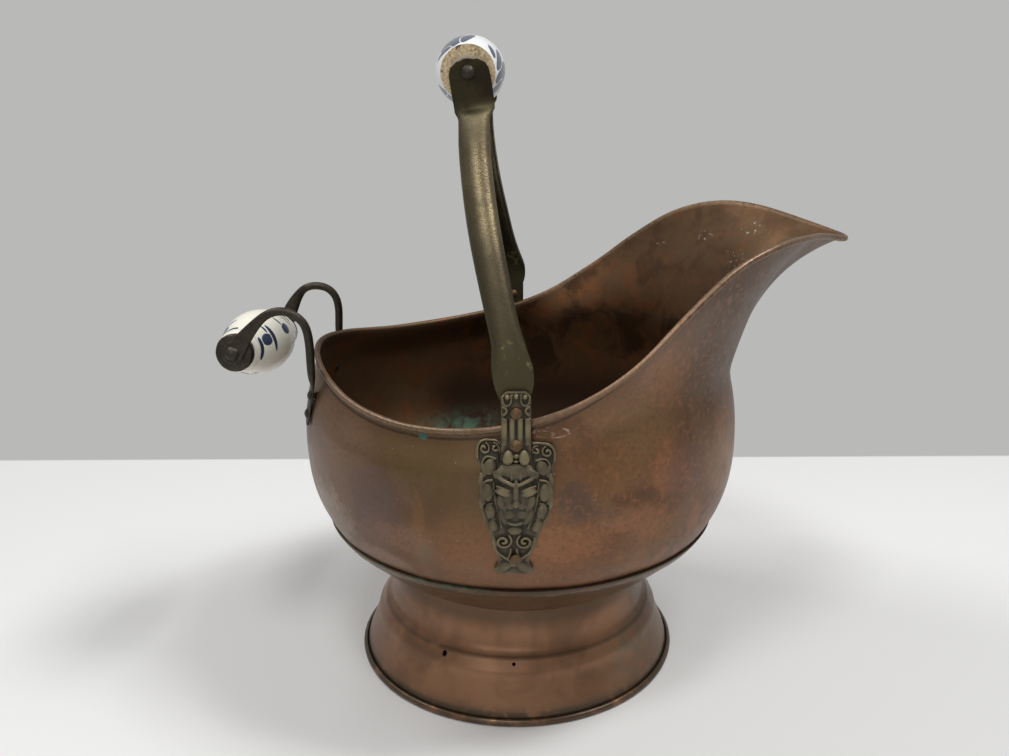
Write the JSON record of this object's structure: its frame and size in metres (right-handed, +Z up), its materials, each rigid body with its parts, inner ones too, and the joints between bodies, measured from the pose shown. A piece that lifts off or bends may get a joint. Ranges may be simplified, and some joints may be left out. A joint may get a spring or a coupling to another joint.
{
  "type": "coal scuttle",
  "caption": "Old copper helmet coal scuttle with a round foot, a wide pouring spout, lion-mask brackets, a tall swinging bail and a rear tipping handle, both with ceramic grips.",
  "frame": {"origin": "on the ground under the middle of the scuttle's length and width with its bail up, 7.7 mm in front of the bowl's axis", "axes": "+X towards the spout, +Z up, +Y to the left side as seen from behind, the side away from the picture's camera"},
  "size_m": [0.3668, 0.2692, 0.3731],
  "materials": {
    "copper": "aged copper sheet, brown and mottled, worn satin",
    "copper_rivet": "aged copper",
    "bracket_brass": "cast brass, dark in the hollows and worn pale on the high spots",
    "bail_brass": "aged olive brass, satin",
    "rear_brass": "near-black aged brass, dull",
    "iron": "dark iron",
    "solder": "dull tin solder",
    "bail_ceramic": "white glaze with blue petals, bare tan ends",
    "rear_ceramic": "cream glaze with blue dots and strokes"
  },
  "bodies": {
    "root": {"body": "copper", "rim_wire": "iron", "bottom_dish": "copper", "foot": "copper", "foot_wire": "iron", "foot_solder": "solder", "left_bracket": "bracket_brass", "right_bracket": "bracket_brass", "left_bracket_rivets": "copper_rivet", "right_bracket_rivets": "copper_rivet", "left_pivot_rivet": "copper_rivet", "right_pivot_rivet": "copper_rivet", "left_rear_arm": "rear_brass", "right_rear_arm": "rear_brass", "left_rear_rivets": "rear_brass", "right_rear_rivets": "rear_brass", "left_rear_cap": "rear_brass", "right_rear_cap": "rear_brass", "rear_rod": "iron"},
    "bail": {"left_bail_arm": "bail_brass", "right_bail_arm": "bail_brass", "bail_rod": "iron"},
    "bail_grip": {"bail_grip": "bail_ceramic"},
    "rear_grip": {"rear_grip": "rear_ceramic"}
  },
  "joints": [
    {"name": "bail_swing", "type": "hinge", "parent": "root", "child": "bail", "pos_m": [-0.0117, 0, 0.1996], "axis": [0, 1, 0], "range_deg": [-63, 63]},
    {"name": "bail_grip_spin", "type": "hinge", "parent": "bail", "child": "bail_grip", "pos_m": [-0.03524, 0, 0.35432], "axis": [0, 1, 0], "continuous": true},
    {"name": "rear_grip_spin", "type": "hinge", "parent": "root", "child": "rear_grip", "pos_m": [-0.1642, 0, 0.1994], "axis": [0.0969, 0.9878, -0.1219], "continuous": true}
  ]
}
